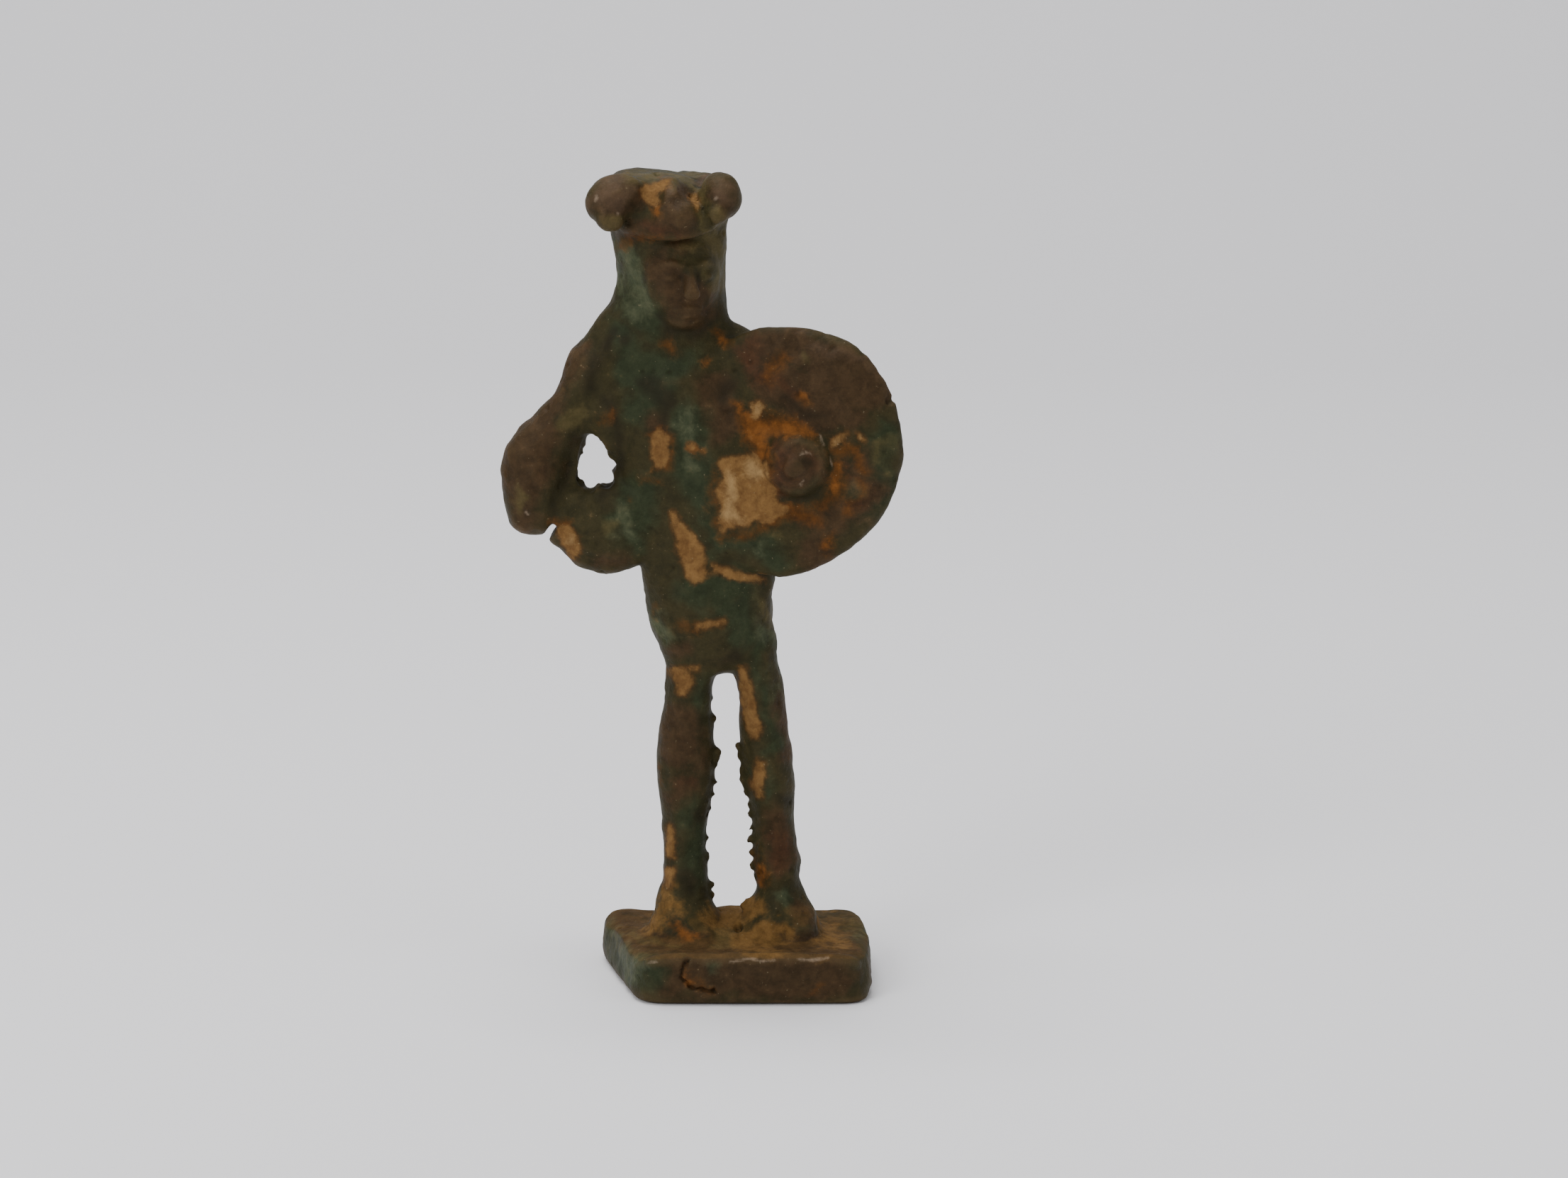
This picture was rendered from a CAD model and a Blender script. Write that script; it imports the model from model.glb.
"""Looks of a small cast bronze votive figure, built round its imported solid.

Lengths are millimetres until the finished mesh is scaled to metres. Places written as (u, v) are
pixels of the reference frame, and each one is carried along its camera ray to the surface.
"""

import math
from itertools import product
from typing import NamedTuple

import bmesh
import bpy
import numpy as np
from mathutils import Matrix, Vector
from mathutils.bvhtree import BVHTree
from mathutils.kdtree import KDTree


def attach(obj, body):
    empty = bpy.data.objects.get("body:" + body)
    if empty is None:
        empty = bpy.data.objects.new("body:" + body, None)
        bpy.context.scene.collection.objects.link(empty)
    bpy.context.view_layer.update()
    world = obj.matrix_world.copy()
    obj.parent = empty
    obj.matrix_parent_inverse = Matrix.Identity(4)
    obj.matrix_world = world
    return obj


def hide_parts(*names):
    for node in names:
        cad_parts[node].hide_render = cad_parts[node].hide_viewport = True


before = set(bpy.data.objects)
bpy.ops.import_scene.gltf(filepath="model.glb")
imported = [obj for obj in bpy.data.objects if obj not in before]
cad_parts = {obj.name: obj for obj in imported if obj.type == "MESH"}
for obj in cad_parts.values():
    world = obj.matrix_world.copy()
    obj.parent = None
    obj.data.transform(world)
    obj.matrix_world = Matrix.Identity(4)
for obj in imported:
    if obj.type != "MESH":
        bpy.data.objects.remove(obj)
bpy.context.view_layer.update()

MM = 0.001
NODE = "votive_figure"

# The reference frame and the camera that sees it
FRAME_PIXELS = (2212, 1662)
CAMERA_DISTANCE = 520.0
CAMERA_PITCH = math.radians(12.0)
CAMERA_AIM = Vector((5.413, 0.0, 44.1))
LENS = 109.25
SENSOR = 36.0
FOCAL_PIXELS = LENS / SENSOR * FRAME_PIXELS[0]
SEEN_METRES = (0.01, 20.0)

CAMERA_BACK = Vector((0.0, -math.cos(CAMERA_PITCH), math.sin(CAMERA_PITCH)))
CAMERA_UP = Vector((0.0, math.sin(CAMERA_PITCH), math.cos(CAMERA_PITCH)))
CAMERA_PLACE = CAMERA_AIM + CAMERA_BACK * CAMERA_DISTANCE

# Places on the figure: the face in x, y and z, the front edge in y, and the others in x and z
FACE_MIDDLE = np.array([-4.8, -5.4, 78.7])
FACE_REACH = 6.2
HOLE_MIDDLE = np.array([-15.1, 58.2])
HOLE_REACH = 3.4
SLIT_MIDDLE = np.array([-20.3, 50.3])
SLIT_REACH = 3.0
BOSS_MIDDLE = np.array([7.1, 59.2])
BOSS_REACH = 6.0
FRONT_EDGE = -10.3

# Noise on a lattice of cells, each with its own value mixed from its place and a seed
CELL_SHIFT = 1000.0
CELL_PRIMES = (73856093, 19349663, 83492791)
SEED_PRIME = 2654435761
MIXING = [(15, 2246822519), (13, 3266489917)]
LOW_BITS = 0xFFFFFFFF
SEEDS_PER_AXIS = 10

# Stands in for a length of 0, so that nothing is divided by 0
TINY = 1e-6

# The fine mesh
VOXEL = 0.19
WELD_DISTANCE = 1e-4
MOST_TRIANGLES = 194000
RANDOM_SEED = 7

# Softening of the forms: (share of each step everywhere, how much more on the plain skin)
MELT_STEPS = 24
MELT_SHARE = (0.12, 0.42)
FILL_STEPS = 80
FILL_SHARE = (0.04, 0.56)
STEPS_PER_NORMAL = 8
FLAT_FOOT_HEIGHT = 0.6

# Places that stay crisp: (middle, reach, how much of the softening is left there)
CRISP_PLACES = [
    (HOLE_MIDDLE, HOLE_REACH, 0.15),
    (SLIT_MIDDLE, SLIT_REACH, 0.1),
    (BOSS_MIDDLE, BOSS_REACH, 0.6),
]
BEAD_REACH = 0.9
LEFT_ON_BEADS = 0.15

# Where such a place fades out, as shares of its reach
CRISP_FADE = (0.75, 1.2)
BEAD_FADE = (0.6, 1.3)
FACE_FADE = (0.7, 1.1)

# Beads of metal that the mould's cracks left on the legs and at the hole: (u, v, radius in mm)
FLASH_BEADS = [
    (1006, 1013, 0.42), (1019, 1062, 0.62), (1017, 1070, 0.5), (1014, 1080, 0.36),
    (1016, 1104, 0.42), (1013, 1121, 0.38), (1003, 1140, 0.3), (996, 1182, 0.32),
    (998, 1208, 0.34), (1001, 1247, 0.4), (1006, 1262, 0.45), (1004, 985, 0.26),
    (1045, 1056, 0.42), (1043, 1070, 0.46), (1044, 1086, 0.5), (1046, 1100, 0.62),
    (1050, 1108, 0.45), (1053, 1121, 0.44), (1055, 1136, 0.48), (1058, 1150, 0.42),
    (1057, 1167, 0.34), (1057, 1183, 0.46), (1059, 1203, 0.44), (1062, 1220, 0.42),
    (1066, 1236, 0.34), (1045, 1276, 0.5), (1063, 1276, 0.36), (819, 670, 0.4),
    (822, 680, 0.45), (815, 634, 0.3), (848, 620, 0.32), (863, 664, 0.3),
]

# Each bead is a ball with smaller ones round it, in shares of its radius
BEAD_LIFT = 0.35
BALL_SUBDIVISIONS = 2
SMALL_BALLS = 3
SMALL_LIFT = 0.2
SMALL_SPREAD = 1.1
SMALL_SIZE = 0.55

# Lumps and pores of the cast skin, of the dirt and of the hole's rim, as waves: (size, height, seed)
SKIN_WAVES = [(5.5, 0.26, 11), (2.4, 0.15, 12), (1.15, 0.085, 13), (0.55, 0.035, 14)]
DIRT_WAVES = [(4.6, 0.22, 21), (1.5, 0.05, 22), (0.8, 0.04, 23)]
RIM_WAVES = [(1.15, 0.42, 25), (0.55, 0.16, 26)]
SKIN_ON_FACE = 0.1
SKIN_LOST_TO_DIRT = 0.65

# Heights between which the skin's waves begin, the base's top begins and its dirt ends
SKIN_HEIGHTS = (0.0, 1.2)
TOP_HEIGHTS = (3.2, 4.6)
DIRT_END_HEIGHTS = (10.5, 8.0)
TOP_FACING = (0.3, 0.75)

# The hole's ragged rim fades out at its reach, as shares of it, and at its middle, in mm
RIM_OUTER_FADE = (1.0, 0.7)
RIM_INNER_FADE = (0.3, 1.2)

# The lip along the base's front edge, between these heights
LIP_WIDTH = 0.75
LIP_HEIGHT = 0.7
LIP_WAVES = [(2.2, 0.3, 24)]
LIP_START_HEIGHTS = (3.6, 4.8)
LIP_END_HEIGHTS = (6.6, 5.9)

# Where the shield's edge is nicked: (u, v, radius in pixels, depth in mm)
NICKS = [(1258, 564, 9, 0.55), (1294, 622, 9, 0.3), (1240, 772, 12, 0.35), (1150, 826, 10, 0.25)]
NICK_FADE = (1.0, 0.3)

# Small pits, their radius in mm and their depth as a share of it, above a lowest height
PIT_COUNT = 240
PIT_RADIUS = (0.18, 0.45)
PIT_DEPTH = 0.5
PIT_LOWEST = 1.0

# The one large pit between the feet: (u, v, radius in pixels)
BASE_PIT = (1041, 1308, 5.0)
BASE_PIT_DEPTH = 0.9
BASE_PIT_FADE = (1.5, 0.4)
BASE_PIT_FACING = 0.1

# The crack in the base's front, as (u, v), with a radius, edge and shake in pixels
CRACK = [(970, 1354), (961, 1378), (974, 1391), (1006, 1398)]
CRACK_RADIUS = 0.9
CRACK_EDGE = (-2.6, 2.2)
CRACK_SHAKE = 4.0
CRACK_SHAKE_SIZE = 0.7
CRACK_SEEDS = (41, 42)
CRACK_DEPTH = 0.75
FRONT_FACING = (0.2, 0.5)

# Patches of the patina, each one a stroke through its (u, v, radius in pixels)
EARTH = {
    "beside the boss, top": [(1034, 662, 19), (1064, 662, 19)],
    "beside the boss": [(1040, 690, 27), (1042, 714, 27)],
    "under the boss": [(1060, 702, 23), (1082, 720, 17), (1102, 716, 9)],
    "beside the boss, foot": [(1030, 736, 13), (1052, 732, 9)],
    "speck above the boss": [(1067, 575, 9), (1064, 584, 7)],
    "right of the boss": [(1178, 622, 7), (1186, 615, 4), (1192, 610, 3)],
    "far right of the boss": [(1211, 611, 4), (1216, 618, 5)],
    "chest": [(930, 622, 14), (931, 640, 14), (929, 654, 8)],
    "chest specks": [(974, 629, 4), (976, 632, 3)],
    "upper streak": [(950, 724, 4), (962, 750, 9), (975, 778, 18), (981, 806, 14)],
    "under the shield": [(1012, 801, 7), (1036, 810, 6), (1058, 817, 5), (1076, 820, 3)],
    "forearm corner": [(794, 750, 8), (802, 764, 12), (812, 780, 8)],
    "belt": [(984, 883, 3), (1018, 880, 5)],
    "left thigh": [(950, 944, 6), (984, 946, 3)],
    "left thigh, lower": [(956, 952, 11), (966, 962, 12), (962, 976, 7)],
    "right thigh": [(1046, 952, 8), (1053, 994, 9), (1065, 1024, 11), (1067, 1040, 5)],
    "right knee": [(1069, 1076, 6), (1067, 1104, 9), (1070, 1120, 5)],
    "left shin": [(943, 1168, 4), (945, 1192, 8), (948, 1204, 6)],
    "left ankle": [(946, 1230, 7), (940, 1250, 5)],
    "boss edge": [(1072, 680, 14), (1086, 706, 12)],
    "cap": [(937, 258, 6), (920, 272, 12), (924, 284, 9), (912, 266, 7)],
    "cap, right": [(978, 278, 4), (984, 290, 4)],
}
PALE = {
    "beside the boss, top": [(1060, 658, 10), (1068, 668, 9)],
    "beside the boss, left": [(1026, 672, 5), (1034, 700, 8), (1028, 724, 11), (1042, 734, 7)],
    "above the boss": [(1068, 576, 5)],
    "right of the boss": [(1180, 622, 3)],
    "far right of the boss": [(1214, 614, 2)],
    "forearm corner": [(804, 762, 5)],
}
RUST = {
    "over the boss": [(1040, 570, 8), (1060, 598, 17), (1096, 600, 17), (1124, 600, 14), (1150, 607, 9)],
    "left of the boss": [(1066, 620, 17), (1076, 640, 12), (1088, 664, 9)],
    "right of the boss": [(1184, 660, 12), (1182, 692, 14), (1160, 716, 12)],
    "far right of the boss": [(1182, 634, 11), (1206, 634, 12), (1228, 668, 6)],
    "right of the boss, foot": [(1204, 704, 10)],
    "right rim": [(1214, 684, 7), (1200, 726, 7)],
    "under the boss": [(1096, 730, 12), (1124, 722, 13), (1150, 736, 10)],
    "under the earth": [(1020, 756, 8), (1060, 756, 8), (1092, 740, 10)],
    "left of the earth": [(1010, 660, 5), (1006, 700, 6), (1010, 740, 6)],
    "upper shield": [(1128, 556, 9), (1140, 564, 7)],
    "lower rim": [(1164, 772, 10), (1176, 764, 8)],
    "shield top": [(1084, 538, 10), (1092, 514, 10), (1104, 508, 8)],
    "round the chest patch": [(918, 610, 5), (946, 612, 5), (944, 654, 5), (920, 664, 4)],
    "chest specks": [(974, 630, 5), (989, 637, 3)],
    "neck speck": [(994, 509, 5)],
    "belly speck": [(907, 673, 5), (935, 683, 4)],
    "arm speck": [(888, 704, 4)],
    "arm corner": [(786, 736, 9), (800, 734, 6)],
    "armpit": [(849, 592, 6), (860, 578, 5)],
    "cap": [(928, 292, 8), (918, 286, 6)],
    "brow": [(923, 338, 6), (888, 334, 6), (873, 352, 8)],
    "belt": [(957, 885, 6), (980, 884, 6)],
    "neck, left": [(942, 480, 8), (950, 496, 7)],
    "neck, right": [(1014, 472, 9), (1025, 488, 6)],
    "hip": [(928, 856, 4), (924, 866, 3)],
    "inner ankle": [(1064, 1200, 5), (1072, 1222, 8), (1078, 1240, 8)],
    "base crust": [(953, 1300, 7), (972, 1318, 9), (984, 1318, 5)],
    "outer shin": [(930, 1086, 3), (932, 1104, 2)],
    "front crack": [(968, 1350, 2), (963, 1376, 4), (976, 1390, 3), (1004, 1397, 3)],
    "front corner": [(1148, 1398, 4), (1158, 1390, 2)],
}
RED = {
    "boss": [(1096, 634, 10), (1094, 664, 10), (1112, 690, 6)],
    "boss, right": [(1140, 630, 4), (1150, 660, 6)],
    "shield top": [(1050, 500, 12), (1078, 536, 10), (1116, 552, 5)],
    "under the boss": [(1128, 726, 8), (1150, 744, 8)],
    "right of the boss": [(1198, 652, 8), (1216, 702, 10)],
    "brow": [(916, 322, 8), (950, 332, 6)],
    "right shin": [(1098, 1180, 12), (1104, 1210, 12)],
    "left calf": [(966, 1100, 6)],
}
ORANGE = {
    "over the boss": [(1044, 574, 4), (1064, 602, 12), (1096, 604, 12), (1130, 604, 8), (1150, 612, 4)],
    "left of the boss": [(1072, 618, 9), (1078, 640, 5)],
    "right of the boss": [(1184, 662, 5), (1176, 690, 5)],
    "under the boss": [(1096, 712, 7), (1112, 712, 4)],
    "lower rim": [(1166, 770, 6)],
    "upper shield": [(1134, 556, 4)],
    "neck speck": [(994, 509, 5)],
    "neck, left": [(950, 492, 3)],
    "neck, right": [(1018, 480, 4)],
    "chest specks": [(974, 630, 4), (989, 637, 3)],
    "over the chest patch": [(930, 612, 3)],
    "inner ankle": [(1072, 1222, 4), (1076, 1240, 5)],
    "base crust": [(956, 1302, 3), (974, 1318, 6), (984, 1318, 4)],
    "front crack": [(963, 1378, 3), (970, 1387, 2)],
    "cap": [(928, 294, 4)],
    "brow": [(923, 338, 3)],
}
BROWN = {
    "left roll": [(858, 280, 28), (880, 270, 24)],
    "right roll": [(1019, 268, 26), (1026, 284, 18)],
    "knob and brow": [(949, 270, 13), (944, 306, 26), (956, 318, 24)],
    "brim": [(888, 316, 12), (920, 326, 12)],
    "face": [(936, 368, 22), (960, 400, 34), (976, 432, 36)],
    "shoulder": [(812, 492, 12), (786, 548, 14), (770, 584, 20)],
    "elbow": [(762, 608, 34), (750, 650, 40), (742, 730, 22)],
    "chest": [(928, 594, 16), (938, 600, 12)],
    "shield top": [(1070, 500, 24), (1120, 486, 30), (1180, 510, 34), (1226, 560, 26)],
    "shield middle": [(1100, 540, 34), (1160, 560, 44), (1200, 590, 24)],
    "shield left": [(1014, 540, 20), (1034, 596, 20)],
    "shield right": [(1230, 650, 18), (1220, 706, 18), (1186, 734, 30)],
    "boss": [(1120, 656, 44)],
    "shield foot": [(1150, 780, 26)],
    "hips": [(950, 912, 10)],
    "left thigh": [(968, 1010, 22), (964, 1060, 26)],
    "left calf": [(968, 1110, 20), (950, 1130, 12)],
    "right calf": [(1094, 1156, 16), (1104, 1200, 22)],
    "cap, left of the knob": [(906, 256, 4)],
    "right thigh": [(1096, 990, 12), (1106, 1010, 12), (1116, 1070, 10)],
    "right foot": [(1128, 1286, 16)],
    "base top": [(900, 1318, 34), (1000, 1340, 16), (1120, 1344, 26), (1200, 1340, 18)],
    "base front": [(960, 1376, 30), (1080, 1380, 36), (1180, 1376, 30)],
    "lip": [(910, 1352, 9), (1060, 1350, 9), (1200, 1346, 9)],
    "lobe of the forearm": [(850, 794, 10), (872, 790, 8)],
    "base corner": [(872, 1292, 14), (930, 1342, 16)],
}
GREEN = {
    "left cheek": [(872, 350, 10), (886, 386, 15), (900, 430, 20), (912, 456, 20)],
    "left collar": [(872, 470, 20), (886, 492, 20)],
    "right cheek": [(1018, 366, 8), (1012, 390, 8)],
    "chest": [(900, 524, 34), (950, 514, 28), (900, 576, 24)],
    "breast": [(976, 592, 28), (984, 650, 34), (998, 694, 22)],
    "belly": [(912, 690, 26), (896, 724, 34), (890, 760, 20)],
    "under the breast": [(1000, 736, 18), (1016, 764, 18)],
    "shield foot": [(1030, 768, 16), (1070, 774, 18), (1090, 796, 18)],
    "shield right": [(1250, 620, 18), (1252, 660, 14), (1226, 726, 16)],
    "shield glint": [(1205, 680, 5), (1204, 690, 4)],
    "waist": [(986, 828, 24), (1030, 842, 34), (1040, 896, 28)],
    "left hip": [(924, 862, 8), (932, 884, 10)],
    "right hip": [(1074, 900, 16), (1070, 960, 8), (1090, 1050, 16)],
    "right shin": [(1082, 1124, 12), (1076, 1100, 8)],
    "left thigh": [(990, 970, 12), (992, 1000, 10)],
    "left shin": [(978, 1140, 12), (974, 1196, 18), (980, 1240, 10)],
    "right ankle": [(1110, 1264, 14), (1120, 1284, 10)],
    "base left": [(862, 1306, 12), (890, 1368, 26), (926, 1376, 14)],
    "base right": [(1216, 1300, 8), (1222, 1350, 8)],
    "base front": [(996, 1372, 18), (1140, 1376, 14)],
}
VERDIGRIS = {
    "left cheek": [(872, 348, 9), (882, 376, 15), (893, 402, 16), (903, 436, 13)],
    "right cheek": [(1012, 392, 2)],
    "breast": [(976, 596, 14), (984, 640, 9)],
    "shield glint": [(1205, 682, 5), (1204, 690, 4)],
    "left hip": [(926, 868, 9), (936, 884, 10)],
    "right hip": [(1074, 888, 10)],
    "base left": [(862, 1306, 4), (896, 1374, 8)],
    "web": [(884, 720, 8), (884, 750, 12)],
    "shield foot": [(1068, 784, 4)],
    "thigh": [(1092, 975, 6)],
    "right ankle": [(1108, 1262, 10)],
    "base right": [(1218, 1306, 7)],
    "base front": [(996, 1374, 10)],
}
OLIVE = {
    "left bead": [(863, 307, 13)],
    "right bead": [(1014, 302, 12)],
    "arm": [(806, 594, 12), (820, 584, 12)],
    "elbow": [(746, 690, 14), (736, 700, 10)],
    "right of the knob": [(974, 264, 9), (990, 286, 8)],
    "right temple": [(1008, 330, 16), (1014, 374, 17)],
    "brim": [(968, 342, 5), (996, 332, 8), (1012, 322, 6)],
    "above the brim": [(986, 298, 7), (992, 318, 7)],
    "cap top": [(884, 250, 9), (930, 244, 13), (985, 252, 14)],
    "right of the face": [(1018, 356, 9), (1018, 384, 11), (1016, 412, 11)],
    "web": [(866, 736, 8)],
    "shield fleck": [(1131, 497, 7)],
    "foot": [(928, 1266, 9), (916, 1276, 7)],
    "base front edge": [(1014, 1324, 12), (1040, 1336, 8)],
    "base corner": [(1208, 1300, 9)],
    "right hip": [(1078, 860, 9)],
    "shield foot": [(1096, 768, 8)],
    "shield right": [(1252, 630, 7), (1254, 656, 5)],
    "base top, left": [(896, 1322, 8), (958, 1334, 7)],
}
OCHRE = {
    "between the feet": [(1004, 1278, 12), (1020, 1298, 20), (1054, 1284, 16)],
    "before the feet": [(1044, 1330, 12), (1080, 1326, 14), (1112, 1318, 11)],
    "right of the front": [(1160, 1330, 9), (1190, 1328, 9)],
    "right of the feet": [(1160, 1300, 12), (1180, 1306, 11)],
    "left ankle": [(944, 1244, 8), (950, 1272, 10), (930, 1296, 9)],
    "left foot": [(962, 1276, 8)],
    "left of the feet": [(908, 1300, 2), (934, 1306, 6)],
}
RUBBED = {
    "left roll": [(852, 272, 22), (880, 262, 12)],
    "right roll": [(1021, 262, 20)],
    "knob": [(947, 262, 8)],
    "rim": [(1150, 478, 6), (1216, 506, 6), (1260, 560, 6)],
}
WORN = {
    "nipple, top": [(1127, 643, 0.5), (1135, 639, 1.5), (1142, 643, 0.5)],
    "nipple, foot": [(1130, 684, 0.5), (1134, 678, 0.5)],
    "left roll": [(841, 277, 1.5), (840, 284, 1.5)],
    "left bead": [(870, 300, 2)],
    "right roll": [(1011, 280, 3)],
    "lip, left": [(914, 1358, 1), (926, 1357, 1)],
    "lip, middle": [(1030, 1356, 1), (1050, 1355, 1), (1092, 1354, 1)],
    "lip, right": [(1126, 1354, 1.5), (1170, 1351, 1.5)],
    "elbow": [(744, 722, 3), (748, 726, 2)],
    "shield edge": [(1296, 640, 3), (1297, 690, 3)],
    "boss edge, top": [(1157, 611, 0.5), (1163, 628, 0.5)],
    "boss edge": [(1171, 644, 0.5), (1174, 660, 0.5)],
}
BURIED = {
    "round the boss": [(1100, 700, 1), (1128, 706, 2), (1150, 700, 2), (1166, 682, 1)],
    "chest": [(906, 540, 10), (944, 566, 9), (938, 596, 6)],
    "knees": [(986, 1152, 8), (1010, 1140, 4)],
    "right knee": [(1120, 1132, 6), (1096, 1128, 6)],
    "on the nipple": [(1116, 656, 4), (1130, 650, 6), (1142, 654, 3)],
    "under the chin": [(928, 446, 3), (944, 462, 5), (976, 471, 5), (1006, 458, 3)],
    "hole": [(866, 606, 5), (874, 640, 6), (868, 668, 8), (846, 700, 5)],
    "armpit": [(850, 560, 6), (866, 600, 8)],
    "upper arm": [(838, 506, 8), (828, 548, 9)],
    "crook": [(806, 616, 1), (800, 660, 2), (790, 700, 3), (786, 726, 4)],
    "crotch": [(1030, 930, 12), (1016, 938, 8)],
    "left ankle": [(968, 1238, 10), (976, 1254, 8)],
    "nape": [(862, 470, 8), (850, 490, 8)],
    "collar": [(882, 480, 9)],
    "shield left": [(1030, 536, 9), (1018, 562, 8)],
    "over the boss": [(1110, 562, 3), (1140, 582, 3), (1170, 584, 1)],
}

# Noise that shakes the patches' edges: (size in mm, reach in pixels)
CRISP_EDGE = [(1.6, 5.0), (0.7, 2.2)]
CRISP_SEED = 31
CLOUDY_EDGE = [(4.0, 16.0), (1.7, 10.0), (0.8, 5.0)]
CLOUDY_SEED = 51
WORN_SHAKE = 0.4
WORN_EDGE = 4.0

# Plainer clouds of the same patina on the unseen sides: (size in mm, share)
CLOUD_WAVES = [(7.0, 0.7), (2.6, 0.4)]
CLOUD_SOFTNESS = 0.5


class Field(NamedTuple):
    """Where one kind of patina lies: patches, how crisp and how wide their edge is, and clouds."""

    patches: dict
    crispness: float
    edge: float
    clouds: tuple = ()  # their seed, and the value at which they start


FIELDS = {
    "brown": Field(BROWN, 0.0, 16.0, (61, -0.1)),
    "green": Field(GREEN, 0.0, 18.0, (63, 0.0)),
    "verdigris": Field(VERDIGRIS, 0.0, 16.0, (75, 0.35)),
    "olive": Field(OLIVE, 0.0, 10.0, (65, 0.4)),
    "buried": Field(BURIED, 0.5, 10.0, (67, 0.4)),
    "ochre": Field(OCHRE, 0.0, 14.0, (69, 0.5)),
    "earth": Field(EARTH, 1.0, 9.0, (71, 0.55)),
    "rust": Field(RUST, 0.6, 16.0, (73, 0.5)),
    "red": Field(RED, 0.0, 16.0, (79, 0.3)),
    "orange": Field(ORANGE, 1.0, 10.0, (77, 0.6)),
    "rubbed": Field(RUBBED, 0.0, 16.0),
    "pale": Field(PALE, 1.0, 9.0),
}

# Where the camera sees the skin: its facing, and how far off the skin the line of sight starts
SEEN_FACING = (0.02, 0.22)
SIGHT_START = 0.6

# High and low spots, from how far the skin lies off a smoothed copy of itself
SMOOTH_STEPS = 30
SMOOTH_SHARE = 0.6
CREST_HEIGHTS = (0.03, 0.32)
HOLLOW_DEPTHS = (0.02, 0.26)
FACE_HOLLOWS = 1.9

# Paints in sRGB from 0 to 255: one shade, or a dark and a pale one that mix in a mottle
PAINTS = {
    "skin": [(40, 37, 19), (57, 51, 29)],
    "brown": [(46, 33, 18), (69, 51, 32)],
    "green": [(33, 40, 23), (49, 57, 37)],
    "verdigris": [(55, 63, 43), (84, 86, 62)],
    "olive": [(68, 60, 33), (88, 77, 46)],
    "earth": [(94, 66, 36), (128, 96, 56)],
    "red": [(50, 31, 17), (74, 47, 29)],
    "rust": [(66, 41, 17), (96, 60, 27)],
    "orange": [(92, 55, 20), (130, 80, 35)],
    "ochre": [(84, 61, 29), (118, 87, 47)],
    "soil": [(30, 26, 14)],
    "shadow": [(32, 27, 14)],
    "crest": [(94, 76, 50)],
    "rubbed": [(112, 90, 74)],
    "pale": [(166, 138, 94)],
    "worn": [(150, 132, 112)],
    "grain": [(24, 20, 12)],
    "lint": [(128, 118, 92)],
}


class Layer(NamedTuple):
    """One coat of the patina: how far blotches and mottle break it up, and where it sets in."""

    paint: str
    field: str
    most: float
    broken: tuple = (0.0, 0.0)
    span: tuple = ()


# From the skin up
LAYERS = [
    Layer("green", "green", 0.85, (0.8, 0.3), (0.1, 0.9)),
    Layer("brown", "brown", 0.9, (0.8, 0.3), (0.1, 0.9)),
    Layer("red", "red", 0.8, (0.8, 0.3), (0.1, 0.95)),
    Layer("verdigris", "verdigris", 0.8, (0.8, 0.4), (0.15, 0.95)),
    Layer("olive", "olive", 0.7, (0.7, 0.3), (0.1, 1.0)),
    Layer("soil", "buried", 0.7, (0.5, 0.4), (0.1, 0.9)),
    Layer("shadow", "hollow", 0.55),
    Layer("crest", "crest", 0.34),
    Layer("rubbed", "rubbed", 0.2, (0.5, 0.3), (0.2, 1.0)),
    Layer("ochre", "dusty_top", 0.26, (0.7, 0.3), (0.4, 1.1)),
    Layer("ochre", "ochre", 0.9, (0.7, 0.5), (0.15, 0.85)),
    Layer("rust", "rust", 0.85, (0.9, 0.45), (0.28, 0.96)),
    Layer("orange", "orange", 0.8, (0.8, 0.3), (0.2, 0.85)),
    Layer("rust", "earth", 0.45, (0.6, 0.4), (0.1, 0.5)),
    Layer("earth", "earth", 1.0, (0.45, 0.3), (0.34, 0.72)),
    Layer("pale", "pale", 0.55, (1.1, 0.7), (0.15, 1.0)),
    Layer("worn", "worn", 0.5, (0.8, 0.8), (0.2, 0.8)),
]

# Specks over all of it: (noise and paint, where they set in, most)
SPECKS = [("grain", (0.35, 0.75), 0.12), ("lint", (0.7, 0.78), 0.4)]

# Noises of the material: (scale, detail, roughness, distortion), and how two of them add up
NOISES = {
    "blotch": (620.0, 4.0, 0.65, 0.4),
    "mottle": (1500.0, 4.0, 0.65, 0.0),
    "grain": (4200.0, 3.0, 0.6, 0.0),
    "lint": (3000.0, 2.0, 0.5, 0.0),
}
NOISE_MIDDLE = 0.5
NOISE_SHARES = (0.7, 0.3)
TONE_SPAN = (0.3, 0.7)

# Gloss and relief of the surface: dull earth, rust and dust, and smoother worn spots
ROUGHNESS = 0.47
MOTTLE_ROUGHNESS = 0.2
WORN_SMOOTHNESS = 0.2
DULL_ROUGHNESS = 0.3
DULL_FIELDS = ("rust", "earth", "ochre")
METALLIC = 0.04
SPECULAR_LEVEL = 0.1
BUMP_STRENGTH = 0.6
BUMP_METRES = 0.0003

# The paper that the figure stands on
PAPER_HALF_WIDTH = 1600.0
PAPER_FRONT = -900.0
PAPER_TURN = 420.0
PAPER_BEND = 260.0
PAPER_HEIGHT = 1500.0
BEND_STEPS = 12
PAPER_COLOUR = (235, 234, 236)
PAPER_ROUGHNESS = 0.9

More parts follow.
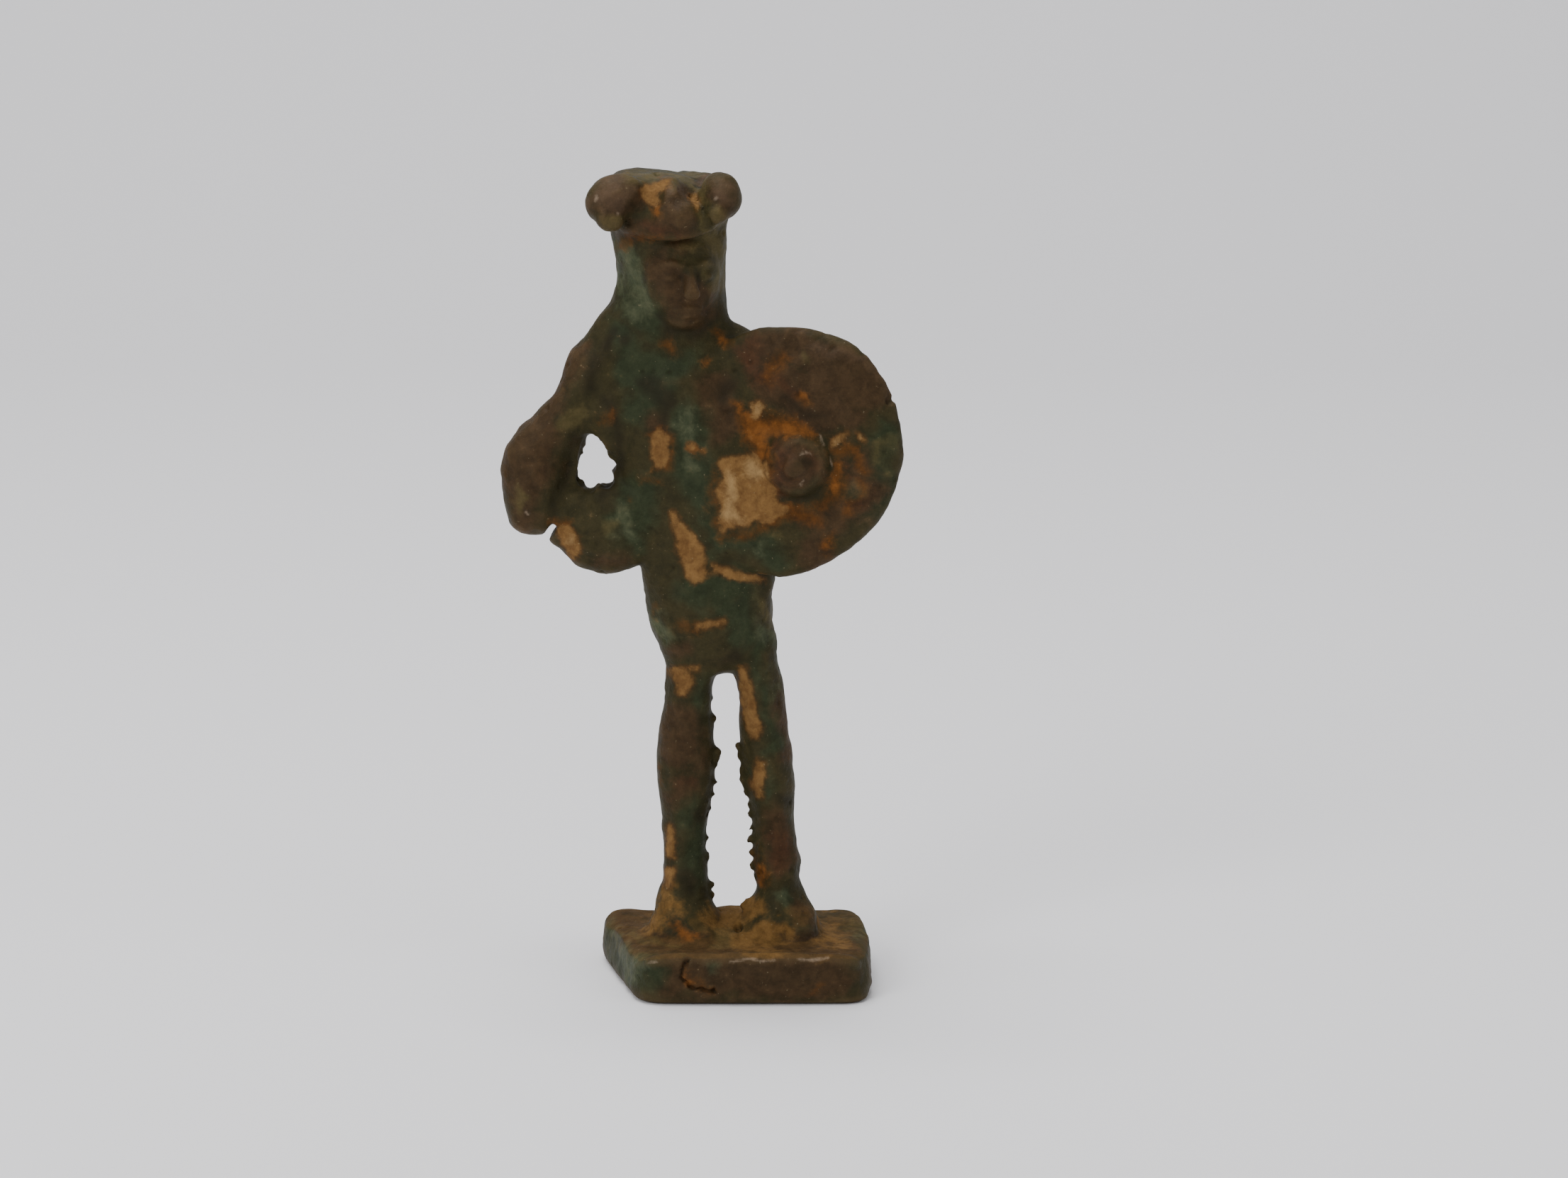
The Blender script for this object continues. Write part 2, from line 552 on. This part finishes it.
# The lights: (name, place, size, watts), all aimed at one place
LIGHTS = [
    ("overhead", (-120.0, 40.0, 760.0), 520.0, 5.5),
    ("front_left", (-420.0, -520.0, 420.0), 380.0, 2.6),
    ("right_fill", (520.0, -300.0, 260.0), 420.0, 0.8),
]
LIGHT_AIM = (0.0, 0.0, 45.0)
ROOM_COLOUR = (0.95, 0.96, 0.98, 1.0)
ROOM_STRENGTH = 0.44


def camera_ray(u, v):
    """The direction in which the camera sees the pixel (u, v)."""
    right = (u - FRAME_PIXELS[0] / 2) / FOCAL_PIXELS
    up = (FRAME_PIXELS[1] / 2 - v) / FOCAL_PIXELS
    return (Vector((right, 0.0, 0.0)) + CAMERA_UP * up - CAMERA_BACK).normalized()


def pixels_of(points):
    """Where the camera sees each point, as columns u and v."""
    away = points - np.array(CAMERA_PLACE)
    depth = -away @ np.array(CAMERA_BACK)
    u = FRAME_PIXELS[0] / 2 + away[:, 0] * FOCAL_PIXELS / depth
    v = FRAME_PIXELS[1] / 2 - (away @ np.array(CAMERA_UP)) * FOCAL_PIXELS / depth
    return np.column_stack((u, v))


def cell_values(cells, seed):
    """A value from -1 to 1 for each cell, the same one on every run."""
    a, b, c = CELL_PRIMES
    mixed = cells[:, 0] * a ^ cells[:, 1] * b ^ cells[:, 2] * c
    mixed = (mixed ^ seed * SEED_PRIME) & LOW_BITS
    for shift, prime in MIXING:
        mixed = (mixed ^ mixed >> shift) * prime & LOW_BITS
    return (mixed >> 16 & 0xFFFF) / 32767.5 - 1


def lattice_noise(points, size, seed):
    """Smooth noise from -1 to 1, with bumps about `size` across."""
    cell = points / size + CELL_SHIFT
    low = np.floor(cell).astype(np.int64)
    share = cell - low
    share = share * share * (3 - 2 * share)
    total = np.zeros(len(points))
    for corner in product((0, 1), repeat=3):
        weight = np.prod(np.where(corner, share, 1 - share), axis=1)
        total += weight * cell_values(low + np.array(corner), seed)
    return total


def wave_sum(points, waves):
    return sum(height * lattice_noise(points, size, seed) for size, height, seed in waves)


def smooth_step(low, high, values):
    """0 on the side of `low`, 1 on the side of `high`, and a smooth change between them."""
    share = np.clip((values - low) / (high - low), 0, 1)
    return share * share * (3 - 2 * share)


def fade(away, reach, shares):
    """A smooth step between two distances, given as shares of a place's reach."""
    return smooth_step(reach * shares[0], reach * shares[1], away)


def points_of(mesh):
    flat = np.zeros(len(mesh.vertices) * 3, np.float32)
    mesh.vertices.foreach_get("co", flat)
    return flat.reshape(-1, 3).astype(float)


def place_points(mesh, points):
    mesh.vertices.foreach_set("co", points.astype(np.float32).ravel())
    mesh.update()


def normals_of(mesh):
    flat = np.zeros(len(mesh.vertices) * 3, np.float32)
    mesh.vertex_normals.foreach_get("vector", flat)
    return flat.reshape(-1, 3).astype(float)


def edges_of(mesh):
    flat = np.zeros(len(mesh.edges) * 2, np.int32)
    mesh.edges.foreach_get("vertices", flat)
    return flat.reshape(-1, 2)


def neighbour_mean(points, edges):
    """For each point, the mean of the points it shares an edge with."""
    a, b = edges.T
    count = len(points)
    number = np.bincount(a, minlength=count) + np.bincount(b, minlength=count)
    total = [
        np.bincount(a, points[b, k], count) + np.bincount(b, points[a, k], count)
        for k in range(points.shape[1])
    ]
    return np.column_stack(total) / np.maximum(number, 1)[:, None]


def apply_modifiers(piece):
    """Replaces the piece's mesh by what its modifiers make of it."""
    evaluated = piece.evaluated_get(bpy.context.evaluated_depsgraph_get())
    made = bpy.data.meshes.new_from_object(evaluated)
    piece.modifiers.clear()
    piece.data = made


def nearest_places(tree, marks):
    """The surface point and normal nearest to where each mark is seen, at the body's depth."""
    found = []
    for u, v, radius in marks:
        ray = camera_ray(u, v)
        reach = -CAMERA_PLACE.y / ray.y
        place, normal, _, _ = tree.find_nearest(CAMERA_PLACE + ray * reach)
        found.append((place, normal, radius))
    return found


def add_ball(shape, centre, radius):
    bmesh.ops.create_icosphere(
        shape, subdivisions=BALL_SUBDIVISIONS, radius=radius, matrix=Matrix.Translation(centre)
    )


def add_beads(shape, random):
    """Clusters of small balls sunk into the surface at each bead's place, and those places."""
    tree = BVHTree.FromBMesh(shape)
    centres = []
    for place, normal, radius in nearest_places(tree, FLASH_BEADS):
        centre = place + normal * radius * BEAD_LIFT
        add_ball(shape, centre, radius)
        for _ in range(SMALL_BALLS):
            shift = Vector(random.uniform(-SMALL_SPREAD, SMALL_SPREAD, 3)) * radius
            add_ball(shape, place + normal * radius * SMALL_LIFT + shift, radius * SMALL_SIZE)
        centres.append(centre)
    return np.array(centres)


def cast_piece():
    """The figure as one closed fine mesh, in millimetres, and where its flash beads are."""
    shape = bmesh.new()
    shape.from_mesh(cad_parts[NODE].data)
    bmesh.ops.scale(shape, vec=(1 / MM,) * 3, verts=shape.verts)
    bmesh.ops.remove_doubles(shape, verts=shape.verts, dist=WELD_DISTANCE)
    beads = add_beads(shape, np.random.default_rng(RANDOM_SEED))
    mesh = bpy.data.meshes.new("cast_figure")
    shape.to_mesh(mesh)
    shape.free()
    piece = bpy.data.objects.new("cast_figure", mesh)
    bpy.context.scene.collection.objects.link(piece)
    remesh = piece.modifiers.new("even_skin", "REMESH")
    remesh.mode = "VOXEL"
    remesh.voxel_size = VOXEL
    apply_modifiers(piece)
    return piece, beads


def off_face(points):
    """0 on the face, and 1 a little way from it."""
    away = np.linalg.norm(points - FACE_MIDDLE, axis=1)
    return fade(away, FACE_REACH, FACE_FADE)


def off_beads(points, beads):
    """Small on the flash beads, and 1 a little way from them."""
    away = np.min([np.linalg.norm(points - bead, axis=1) for bead in beads], axis=0)
    return LEFT_ON_BEADS + (1 - LEFT_ON_BEADS) * fade(away, BEAD_REACH, BEAD_FADE)


def off_crisp_places(points, beads):
    """Small at the rim of the hole, the slit, the boss and the beads, and 1 away from them."""
    share = off_beads(points, beads)
    for middle, reach, left in CRISP_PLACES:
        away = np.linalg.norm(points[:, [0, 2]] - middle, axis=1)
        share = np.minimum(share, left + (1 - left) * fade(away, reach, CRISP_FADE))
    return share


def softening(points, beads, shares):
    """How far each point goes at a step: little on the face and the crisp places."""
    everywhere, more = shares
    return everywhere + more * off_face(points) * off_crisp_places(points, beads)


def melt(mesh, beads):
    """Rounds the edges between the forms, as wax does, and leaves the face a little crisper."""
    points = points_of(mesh)
    edges = edges_of(mesh)
    share = softening(points, beads, MELT_SHARE)
    flat_foot = points[:, 2] < FLAT_FOOT_HEIGHT
    for _ in range(MELT_STEPS):
        moved = points + (neighbour_mean(points, edges) - points) * share[:, None]
        moved[flat_foot, 2] = points[flat_foot, 2]
        points = moved
    place_points(mesh, points)


def fill_hollows(mesh, beads):
    """Fills the inner corners between the forms with soft fillets, and leaves the outer edges."""
    points = points_of(mesh)
    edges = edges_of(mesh)
    share = softening(points, beads, FILL_SHARE)
    for step in range(FILL_STEPS):
        if step % STEPS_PER_NORMAL == 0:
            place_points(mesh, points)
            normals = normals_of(mesh)
        shift = np.sum((neighbour_mean(points, edges) - points) * normals, axis=1)
        points += normals * (np.maximum(shift, 0) * share)[:, None]
    place_points(mesh, points)


def base_top(points, normals):
    """1 on the upper side of the base and the dirt round the feet."""
    height = points[:, 2]
    level = smooth_step(*TOP_FACING, normals[:, 2])
    return level * smooth_step(*TOP_HEIGHTS, height) * smooth_step(*DIRT_END_HEIGHTS, height)


def lip_lift(points):
    """The height of the raised lip along the base's front edge."""
    from_edge = (points[:, 1] - FRONT_EDGE) / LIP_WIDTH
    lip = np.exp(-from_edge ** 2) * smooth_step(*LIP_START_HEIGHTS, points[:, 2])
    lip *= smooth_step(*LIP_END_HEIGHTS, points[:, 2]) * (LIP_HEIGHT + wave_sum(points, LIP_WAVES))
    return lip


def pit_depths(points):
    """How far each point sinks into a pit, at seeded places off the face and the underside."""
    random = np.random.default_rng(RANDOM_SEED + 1)
    tree = KDTree(len(points))
    for i, point in enumerate(points):
        tree.insert(point, i)
    tree.balance()
    depth = np.zeros(len(points))
    for i in random.integers(0, len(points), PIT_COUNT):
        radius = random.uniform(*PIT_RADIUS)
        on_face = np.linalg.norm(points[i] - FACE_MIDDLE) < FACE_REACH
        if points[i, 2] < PIT_LOWEST or on_face:
            continue
        for _, near, away in tree.find_range(points[i], radius):
            depth[near] = max(depth[near], PIT_DEPTH * radius * (1 - (away / radius) ** 2))
    return depth


def base_pit_depth(points, normals):
    """How far each point sinks into the large pit between the feet."""
    u, v, radius = BASE_PIT
    away = np.linalg.norm(pixels_of(points) - np.array([u, v]), axis=1)
    return BASE_PIT_DEPTH * fade(away, radius, BASE_PIT_FADE) * (normals[:, 2] > BASE_PIT_FACING)


def shift_outward(points, middle, reach):
    """A shift by each point's own reach, straight out from a middle in x and z."""
    out = points[:, [0, 2]] - middle
    away = np.linalg.norm(out, axis=1)
    out = out / np.maximum(away, TINY)[:, None] * reach[:, None]
    return np.column_stack((out[:, 0], np.zeros(len(points)), out[:, 1]))


def rim_shift(points):
    """How far the ragged rim of the hole moves, out from or in toward the hole's middle."""
    away = np.linalg.norm(points[:, [0, 2]] - HOLE_MIDDLE, axis=1)
    near = fade(away, HOLE_REACH, RIM_OUTER_FADE) * smooth_step(*RIM_INNER_FADE, away)
    return shift_outward(points, HOLE_MIDDLE, wave_sum(points, RIM_WAVES) * near)


def nick_shift(points):
    """How far the nicks in the shield's edge go in toward the shield's middle."""
    pixels = pixels_of(points)
    depth_in = np.zeros(len(points))
    for u, v, radius, depth in NICKS:
        away = np.linalg.norm(pixels - np.array([u, v]), axis=1)
        depth_in += depth * fade(away, radius, NICK_FADE)
    return shift_outward(points, BOSS_MIDDLE, -depth_in)


def rough_skin(mesh):
    """Moves the skin: waves, dirt and a lip on the base, pits, the hole's rim and the nicks."""
    points = points_of(mesh)
    normals = normals_of(mesh)
    calm = SKIN_ON_FACE + (1 - SKIN_ON_FACE) * off_face(points)
    calm *= smooth_step(*SKIN_HEIGHTS, points[:, 2])
    dirty = base_top(points, normals)
    lift = wave_sum(points, SKIN_WAVES) * calm * (1 - SKIN_LOST_TO_DIRT * dirty)
    lift += wave_sum(points, DIRT_WAVES) * dirty
    lift += lip_lift(points) - pit_depths(points)
    lift -= base_pit_depth(points, normals)
    place_points(mesh, points + normals * lift[:, None] + rim_shift(points) + nick_shift(points))


def stroke_depth(pixels, stroke):
    """How many pixels each place lies inside a stroke: positive inside, negative outside."""
    if len(stroke) == 1:
        u, v, radius = stroke[0]
        return radius - np.linalg.norm(pixels - np.array((u, v)), axis=1)
    best = np.full(len(pixels), -np.inf)
    for start, end in zip(stroke[:-1], stroke[1:]):
        a, b = np.array(start[:2], float), np.array(end[:2], float)
        along = np.clip((pixels - a) @ (b - a) / max((b - a) @ (b - a), TINY), 0, 1)
        away = np.linalg.norm(pixels - (a + along[:, None] * (b - a)), axis=1)
        best = np.maximum(best, start[2] + (end[2] - start[2]) * along - away)
    return best


def sink_crack(mesh):
    """The crack in the front of the base."""
    points = points_of(mesh)
    normals = normals_of(mesh)
    ragged = np.column_stack([
        lattice_noise(points, CRACK_SHAKE_SIZE, seed) * CRACK_SHAKE for seed in CRACK_SEEDS
    ])
    stroke = [(u, v, CRACK_RADIUS) for u, v in CRACK]
    inside = stroke_depth(pixels_of(points) + ragged, stroke)
    front = smooth_step(*FRONT_FACING, -normals[:, 1])
    sunk = smooth_step(*CRACK_EDGE, inside) * front * CRACK_DEPTH
    place_points(mesh, points - normals * sunk[:, None])


def thin_out(piece):
    """Joins small triangles where the skin is even, down to the piece's share."""
    triangles = sum(len(face.vertices) - 2 for face in piece.data.polygons)
    if triangles > MOST_TRIANGLES:
        fewer = piece.modifiers.new("fewer", "DECIMATE")
        fewer.ratio = MOST_TRIANGLES / triangles
        apply_modifiers(piece)


def patch_field(pixels, patches, edge):
    """A field from 0 to 1 that passes a half at each patch's edge."""
    deepest = np.max([stroke_depth(pixels, stroke) for stroke in patches.values()], axis=0)
    return np.clip(0.5 + deepest / (2 * edge), 0, 1)


def seen_share(mesh, points, normals):
    """1 where the camera sees the surface, and 0 where it is turned away or hidden."""
    toward = np.array(CAMERA_PLACE) - points
    toward /= np.linalg.norm(toward, axis=1)[:, None]
    facing = smooth_step(*SEEN_FACING, np.sum(toward * normals, axis=1))
    shape = bmesh.new()
    shape.from_mesh(mesh)
    tree = BVHTree.FromBMesh(shape)
    shape.free()
    for i in np.flatnonzero(facing > 0):
        start = Vector(points[i] + toward[i] * SIGHT_START)
        if tree.ray_cast(start, Vector(toward[i]))[0] is not None:
            facing[i] = 0.0
    return facing


def write_field(mesh, name, values):
    attribute = mesh.attributes.new(name, "FLOAT", "POINT")
    attribute.data.foreach_set("value", np.clip(values, 0, 1).astype(np.float32))


def relief_fields(points, normals, edges):
    """How far each point stands proud of, or lies under, the skin round it."""
    wide = points.copy()
    for _ in range(SMOOTH_STEPS):
        wide += (neighbour_mean(wide, edges) - wide) * SMOOTH_SHARE
    proud = np.sum((points - wide) * normals, axis=1)
    return smooth_step(*CREST_HEIGHTS, proud), smooth_step(*HOLLOW_DEPTHS, -proud)


def ragged_pixels(points, waves, seed):
    """Where each point is seen, shaken by noise so that the patches' edges are ragged."""
    shake = [
        sum(reach * lattice_noise(points, size, seed + SEEDS_PER_AXIS * axis + i)
            for i, (size, reach) in enumerate(waves))
        for axis in (0, 1)
    ]
    return pixels_of(points) + np.column_stack(shake)


def plain_clouds(points, seed, start):
    """Clouds of patina for the sides that the camera doesn't see."""
    cloud = sum(
        share * lattice_noise(points, size, seed + i) for i, (size, share) in enumerate(CLOUD_WAVES)
    )
    return smooth_step(start, start + CLOUD_SOFTNESS, cloud)


def write_patches(mesh, points, seen):
    """Writes where each kind of patina lies, as its patches where seen and its clouds elsewhere."""
    crisp = ragged_pixels(points, CRISP_EDGE, CRISP_SEED)
    cloudy = ragged_pixels(points, CLOUDY_EDGE, CLOUDY_SEED)
    for name, field in FIELDS.items():
        pixels = cloudy * (1 - field.crispness) + crisp * field.crispness
        values = patch_field(pixels, field.patches, field.edge) * seen
        if field.clouds:
            values = values + plain_clouds(points, *field.clouds) * (1 - seen)
        write_field(mesh, name, values)
    fine = crisp * WORN_SHAKE + pixels_of(points) * (1 - WORN_SHAKE)
    write_field(mesh, "worn", patch_field(fine, WORN, WORN_EDGE) * seen)


def write_fields(mesh):
    """Writes the fields that the bronze's material reads."""
    points = points_of(mesh)
    normals = normals_of(mesh)
    crest, hollow = relief_fields(points, normals, edges_of(mesh))
    write_patches(mesh, points, seen_share(mesh, points, normals))
    hollow *= FACE_HOLLOWS - (FACE_HOLLOWS - 1) * off_face(points)
    write_field(mesh, "hollow", hollow)
    write_field(mesh, "crest", crest)
    write_field(mesh, "dusty_top", base_top(points, normals))


def linear(red, green, blue):
    """An sRGB colour from 0 to 255 as the linear values that a shader takes."""
    def one(value):
        share = value / 255
        return share / 12.92 if share <= 0.04045 else ((share + 0.055) / 1.055) ** 2.4

    return (one(red), one(green), one(blue), 1.0)


class Nodes:
    """Short calls for building a material's nodes."""

    def __init__(self, tree):
        self.tree = tree
        tree.nodes.clear()

    def add(self, kind, inputs=None, **settings):
        node = self.tree.nodes.new(kind)
        for name, value in settings.items():
            setattr(node, name, value)
        for name, value in (inputs or {}).items():
            self.feed(node.inputs[name], value)
        return node

    def feed(self, socket, value):
        if isinstance(value, bpy.types.NodeSocket):
            self.tree.links.new(value, socket)
        else:
            socket.default_value = value

    def math(self, operation, first, second, clamp=False):
        node = self.add("ShaderNodeMath", operation=operation, use_clamp=clamp)
        self.feed(node.inputs[0], first)
        self.feed(node.inputs[1], second)
        return node.outputs[0]

    def part_of(self, value, share):
        return self.math("MULTIPLY", value, share)

    def both(self, first, second, shares):
        """The sum of two values, each in its share."""
        return self.math("ADD", self.part_of(first, shares[0]), self.part_of(second, shares[1]))

    def blend(self, share, first, second):
        node = self.add("ShaderNodeMix", data_type="RGBA", clamp_factor=True)
        self.feed(node.inputs["Factor"], share)
        self.feed(node.inputs[6], first)
        self.feed(node.inputs[7], second)
        return node.outputs[2]

    def noise(self, place, scale, detail, rough, warp):
        node = self.add("ShaderNodeTexNoise", {
            "Vector": place, "Scale": scale, "Detail": detail, "Roughness": rough,
            "Distortion": warp,
        })
        return node.outputs[0]

    def field(self, name):
        return self.add("ShaderNodeAttribute", attribute_name=name).outputs["Fac"]

    def step(self, value, low, high):
        node = self.add("ShaderNodeMapRange", interpolation_type="SMOOTHSTEP")
        for socket, number in zip((1, 2, 3, 4), (low, high, 0.0, 1.0)):
            node.inputs[socket].default_value = number
        self.feed(node.inputs[0], value)
        return node.outputs[0]

    def paint(self, name, tone):
        """A paint of one shade, or of two that the tone mixes."""
        shades = [linear(*shade) for shade in PAINTS[name]]
        return shades[0] if len(shades) == 1 else self.blend(tone, *shades)


def layer_share(make, layer, noises):
    """How far a layer covers each place: its field, with the edge broken up by the noises."""
    field = make.field(layer.field)
    if not layer.span:
        return field
    blotch = make.math("SUBTRACT", noises["blotch"], NOISE_MIDDLE)
    mottle = make.math("SUBTRACT", noises["mottle"], NOISE_MIDDLE)
    return make.step(make.math("ADD", field, make.both(blotch, mottle, layer.broken)), *layer.span)


def patina(make, noises):
    """The colour of all the layers, and how far the top layer of each field covers each place."""
    tone = make.step(make.both(noises["blotch"], noises["mottle"], NOISE_SHARES), *TONE_SPAN)
    colour = make.paint("skin", tone)
    shares = {}
    for layer in LAYERS:
        share = layer_share(make, layer, noises)
        colour = make.blend(make.part_of(share, layer.most), colour, make.paint(layer.paint, tone))
        shares[layer.field] = share
    for name, span, most in SPECKS:
        share = make.part_of(make.step(noises[name], *span), most)
        colour = make.blend(share, colour, make.paint(name, tone))
    return colour, shares


def skin_roughness(make, mottle, shares):
    """Dull where earth, rust and dust lie, and smoother where the skin is worn."""
    dull = make.field("dusty_top")
    for name in DULL_FIELDS:
        dull = make.math("MAXIMUM", dull, shares[name])
    gloss = make.math("ADD", make.part_of(mottle, MOTTLE_ROUGHNESS), ROUGHNESS)
    gloss = make.math("SUBTRACT", gloss, make.part_of(shares["worn"], WORN_SMOOTHNESS))
    return make.math("ADD", gloss, make.part_of(dull, DULL_ROUGHNESS), clamp=True)


def bronze():
    """Old bronze: brown and green skin, with earth and rust in its hollows and worn high spots."""
    material = bpy.data.materials.new("bronze_patina")
    material.use_nodes = True
    make = Nodes(material.node_tree)
    place = make.add("ShaderNodeTexCoord").outputs["Object"]
    noises = {name: make.noise(place, *settings) for name, settings in NOISES.items()}
    colour, shares = patina(make, noises)
    bump = make.add("ShaderNodeBump", {
        "Strength": BUMP_STRENGTH, "Distance": BUMP_METRES,
        "Height": make.both(noises["mottle"], noises["grain"], NOISE_SHARES),
    })
    shader = make.add("ShaderNodeBsdfPrincipled", {
        "Base Color": colour, "Roughness": skin_roughness(make, noises["mottle"], shares),
        "Normal": bump.outputs[0], "Metallic": METALLIC, "Specular IOR Level": SPECULAR_LEVEL,
    })
    output = make.add("ShaderNodeOutputMaterial")
    make.tree.links.new(shader.outputs[0], output.inputs[0])
    return material


def paper():
    material = bpy.data.materials.new("paper")
    material.use_nodes = True
    shader = material.node_tree.nodes["Principled BSDF"]
    shader.inputs["Base Color"].default_value = linear(*PAPER_COLOUR)
    shader.inputs["Roughness"].default_value = PAPER_ROUGHNESS
    return material


def paper_profile():
    """The sheet's side view in y and z: flat, a quarter turn, and up."""
    profile = [(PAPER_FRONT, 0.0), (PAPER_TURN, 0.0)]
    for k in range(1, BEND_STEPS + 1):
        angle = math.radians(90 * k / BEND_STEPS)
        back = PAPER_TURN + PAPER_BEND * math.sin(angle)
        profile.append((back, PAPER_BEND * (1 - math.cos(angle))))
    profile.append((PAPER_TURN + PAPER_BEND, PAPER_HEIGHT))
    return profile


def add_backdrop():
    """A pale sheet that runs from under the figure and turns up behind it."""
    shape = bmesh.new()
    rows = [
        [shape.verts.new((side * PAPER_HALF_WIDTH * MM, y * MM, z * MM)) for side in (-1, 1)]
        for y, z in paper_profile()
    ]
    for near, far in zip(rows[:-1], rows[1:]):
        shape.faces.new((near[0], near[1], far[1], far[0])).smooth = True
    mesh = bpy.data.meshes.new("backdrop")
    shape.to_mesh(mesh)
    shape.free()
    backdrop = bpy.data.objects.new("backdrop", mesh)
    bpy.context.scene.collection.objects.link(backdrop)
    mesh.materials.append(paper())


def add_area_light(name, place, size, power):
    light = bpy.data.lights.new(name, "AREA")
    light.shape = "DISK"
    light.size = size * MM
    light.energy = power
    lamp = bpy.data.objects.new(name, light)
    lamp.location = Vector(place) * MM
    lamp.rotation_euler = (Vector(LIGHT_AIM) - Vector(place)).to_track_quat("-Z", "Y").to_euler()
    bpy.context.scene.collection.objects.link(lamp)


def add_lights():
    world = bpy.data.worlds.new("soft_room")
    world.use_nodes = True
    background = world.node_tree.nodes["Background"]
    background.inputs["Color"].default_value = ROOM_COLOUR
    background.inputs["Strength"].default_value = ROOM_STRENGTH
    bpy.context.scene.world = world
    for name, place, size, power in LIGHTS:
        add_area_light(name, place, size, power)


def add_camera():
    camera = bpy.data.objects.new("camera", bpy.data.cameras.new("camera"))
    camera.data.lens = LENS
    camera.data.sensor_width = SENSOR
    camera.data.clip_start, camera.data.clip_end = SEEN_METRES
    camera.location = CAMERA_PLACE * MM
    camera.rotation_euler = (-CAMERA_BACK).to_track_quat("-Z", "Y").to_euler()
    bpy.context.scene.collection.objects.link(camera)
    bpy.context.scene.camera = camera


def add_figure():
    """The one cast piece, finished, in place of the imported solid."""
    piece, beads = cast_piece()
    melt(piece.data, beads)
    fill_hollows(piece.data, beads)
    rough_skin(piece.data)
    sink_crack(piece.data)
    thin_out(piece)
    write_fields(piece.data)
    piece.data.transform(Matrix.Scale(MM, 4))
    piece.data.shade_smooth()
    piece.data.materials.clear()
    piece.data.materials.append(bronze())
    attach(piece, "root")
    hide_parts(NODE)


add_camera()
add_lights()
add_backdrop()
add_figure()
